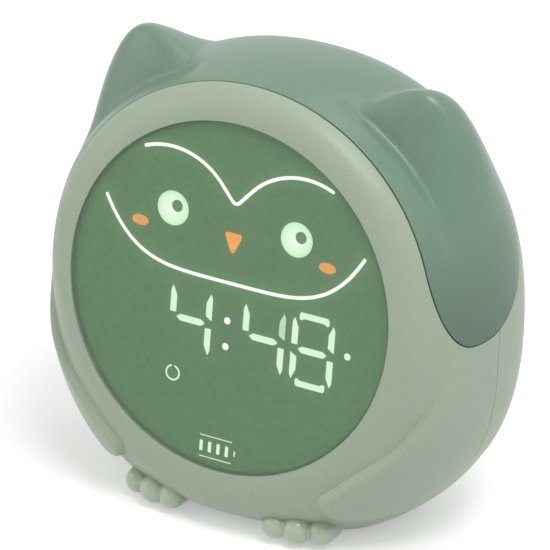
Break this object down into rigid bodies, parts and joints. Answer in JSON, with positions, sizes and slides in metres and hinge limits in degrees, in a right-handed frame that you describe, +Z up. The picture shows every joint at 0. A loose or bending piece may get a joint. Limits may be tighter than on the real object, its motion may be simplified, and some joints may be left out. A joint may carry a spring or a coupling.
{
  "type": "alarm clock with night light",
  "caption": "Round alarm clock on two toed feet with a leaning round display, an eared hood over a night light and a control panel on the back.",
  "frame": {"origin": "centre of the footprint on the table", "axes": "+X to the right seen from in front of the clock, -Y out of the display, +Z up"},
  "size_m": [0.139, 0.0806, 0.1291],
  "materials": {
    "housing": "satin",
    "hood": "satin",
    "lens": "clear tinted acrylic",
    "mask": "printed film",
    "white_plastic": "satin",
    "glow": "lit light guide",
    "orange": "lit light guide",
    "board": "solder mask",
    "led": "phosphor",
    "dark_plastic": "moulded",
    "steel": "plated",
    "cell": "plastic sleeve",
    "paper": "paper",
    "rubber": "matte",
    "panel": "satin"
  },
  "bodies": {
    "case": {"front_housing": "housing", "rear_housing": "housing", "hood": "hood", "display_lens": "lens", "display_mask": "mask", "segment_frame": "white_plastic", "digit_guides": "glow", "icon_guides": "glow", "face_guides": "glow", "cheek_beak_guides": "orange", "display_board": "board", "display_leds": "led", "inner_frame": "dark_plastic", "frame_screws": "steel", "tray_screws": "steel", "left_foot": "housing", "right_foot": "housing", "foot_pads": "rubber", "rear_pad": "rubber", "control_panel": "panel", "panel_screws": "steel", "speaker_grille": "dark_plastic", "speaker_basket": "steel", "speaker_cone": "paper", "speaker_magnet": "steel", "button_switches": "dark_plastic", "slide_switch_body": "steel", "main_board": "board", "main_chips": "dark_plastic", "board_screws": "steel", "charging_socket": "steel", "battery_cell": "cell", "battery_cradle": "white_plastic", "lamp_tray": "white_plastic", "lamp_board": "white_plastic", "lamp_leds": "led", "ribbon_cable": "white_plastic", "housing_screws": "steel"},
    "set_button": {"set_button": "white_plastic"},
    "alarm_button": {"alarm_button": "white_plastic"},
    "up_button": {"up_button": "white_plastic"},
    "down_button": {"down_button": "white_plastic"},
    "light_button": {"light_button": "white_plastic"},
    "alarm_switch": {"alarm_switch": "white_plastic"}
  },
  "joints": [
    {"name": "set_press", "type": "slide", "parent": "case", "child": "set_button", "axis": [0, -0.9893, 0.1461], "range_m": [0, 0.0008], "stiffness_N_per_m": 1200},
    {"name": "alarm_press", "type": "slide", "parent": "case", "child": "alarm_button", "axis": [0, -0.9893, 0.1461], "range_m": [0, 0.0008], "stiffness_N_per_m": 1200},
    {"name": "up_press", "type": "slide", "parent": "case", "child": "up_button", "axis": [0, -0.9893, 0.1461], "range_m": [0, 0.0008], "stiffness_N_per_m": 1200},
    {"name": "down_press", "type": "slide", "parent": "case", "child": "down_button", "axis": [0, -0.9893, 0.1461], "range_m": [0, 0.0008], "stiffness_N_per_m": 1200},
    {"name": "light_press", "type": "slide", "parent": "case", "child": "light_button", "axis": [0, -0.9893, 0.1461], "range_m": [0, 0.0008], "stiffness_N_per_m": 1200},
    {"name": "alarm_slide", "type": "slide", "parent": "case", "child": "alarm_switch", "axis": [1, 0, 0], "range_m": [0, 0.0024]}
  ]
}
